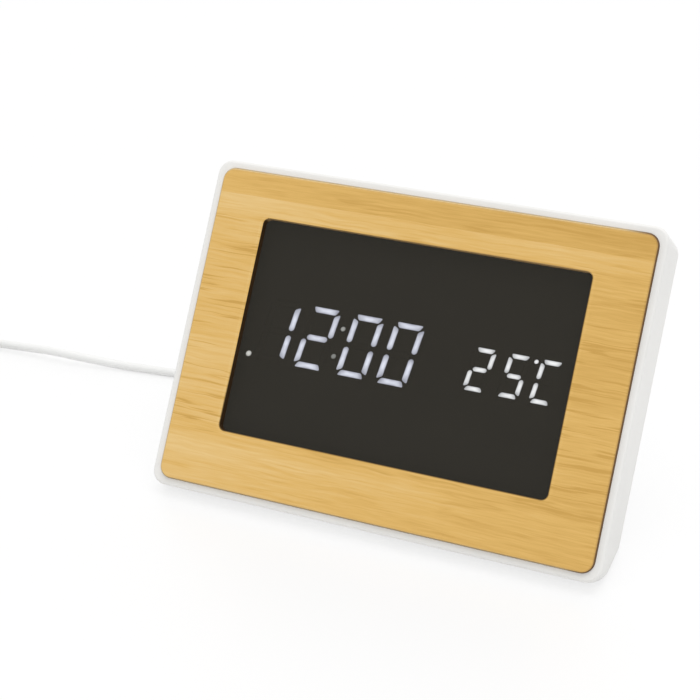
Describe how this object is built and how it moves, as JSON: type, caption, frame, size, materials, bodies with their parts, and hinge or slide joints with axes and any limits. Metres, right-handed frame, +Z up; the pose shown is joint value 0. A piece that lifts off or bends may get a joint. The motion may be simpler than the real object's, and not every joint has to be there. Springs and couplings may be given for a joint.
{
  "type": "digital weather station",
  "caption": "Leaning desk clock and thermometer: bamboo front around a smoked window with lit segment digits, white case, fold-out leg, rear keys and a corded plug.",
  "frame": {"origin": "On the table under the middle of the clock, cord left out", "axes": "+X to the viewer's right along the front, +Y to the back, +Z up"},
  "size_m": [0.3069, 0.0976, 0.0949],
  "materials": {
    "bamboo": "satin lacquer over laminated strips",
    "case_white": "fine matt moulding",
    "smoked_window": "smoked acrylic with a matt front",
    "black_plastic": "matt moulding",
    "dark_guide": "dark frosted sheet",
    "plunger_white": "plain moulding",
    "green_board": "solder resist",
    "steel": "nickel plated",
    "grey_rubber": "matt",
    "cord_white": "soft matt vinyl",
    "ivory_plastic": "plain moulding"
  },
  "bodies": {
    "clock": {"bamboo_panel": "bamboo", "case_shell": "case_white", "display_lens": "smoked_window", "chassis": "black_plastic", "segment_mask": "black_plastic", "controller_chip": "black_plastic", "buzzer": "black_plastic", "temperature_sensor": "black_plastic", "cell_holder": "black_plastic", "set_switch": "black_plastic", "up_switch": "black_plastic", "down_switch": "black_plastic", "light_guide": "dark_guide", "main_board": "green_board", "clock_crystal": "steel", "supply_capacitor": "steel", "backup_cell": "steel", "hinge_pin": "steel", "plug_shell": "steel", "case_screw_lower_left": "steel", "case_screw_lower_right": "steel", "case_screw_upper_left": "steel", "case_screw_upper_right": "steel", "board_screw_lower_left": "steel", "board_screw_lower_right": "steel", "board_screw_upper_left": "steel", "board_screw_upper_right": "steel", "left_foot": "grey_rubber", "right_foot": "grey_rubber", "coil_tie": "grey_rubber", "cord": "cord_white", "cord_coil": "cord_white", "cord_grommet": "cord_white", "plug_body": "cord_white", "power_connector": "ivory_plastic", "plug_tongue": "ivory_plastic"},
    "leg": {"stand_leg": "case_white", "leg_pad": "grey_rubber"},
    "cap": {"battery_cap": "case_white"},
    "set_button": {"set_key": "case_white", "set_plunger": "plunger_white"},
    "up_button": {"up_key": "case_white", "up_plunger": "plunger_white"},
    "down_button": {"down_key": "case_white", "down_plunger": "plunger_white"}
  },
  "joints": [
    {"name": "leg_hinge", "type": "hinge", "parent": "clock", "child": "leg", "pos_m": [0, 0.02232, 0.05622], "axis": [1, 0, 0], "range_deg": [-41.6, 0]},
    {"name": "cap_turn", "type": "hinge", "parent": "clock", "child": "cap", "pos_m": [-0.0505, 0.01235, 0.03706], "axis": [0, -0.8329, 0.5534], "range_deg": [0, 60]},
    {"name": "set_press", "type": "slide", "parent": "clock", "child": "set_button", "axis": [0, -0.8329, 0.5534], "range_m": [0, 0.0006], "stiffness_N_per_m": 1500, "springref_m": -0.0004},
    {"name": "up_press", "type": "slide", "parent": "clock", "child": "up_button", "axis": [0, -0.8329, 0.5534], "range_m": [0, 0.0006], "stiffness_N_per_m": 1500, "springref_m": -0.0004},
    {"name": "down_press", "type": "slide", "parent": "clock", "child": "down_button", "axis": [0, -0.8329, 0.5534], "range_m": [0, 0.0006], "stiffness_N_per_m": 1500, "springref_m": -0.0004}
  ]
}
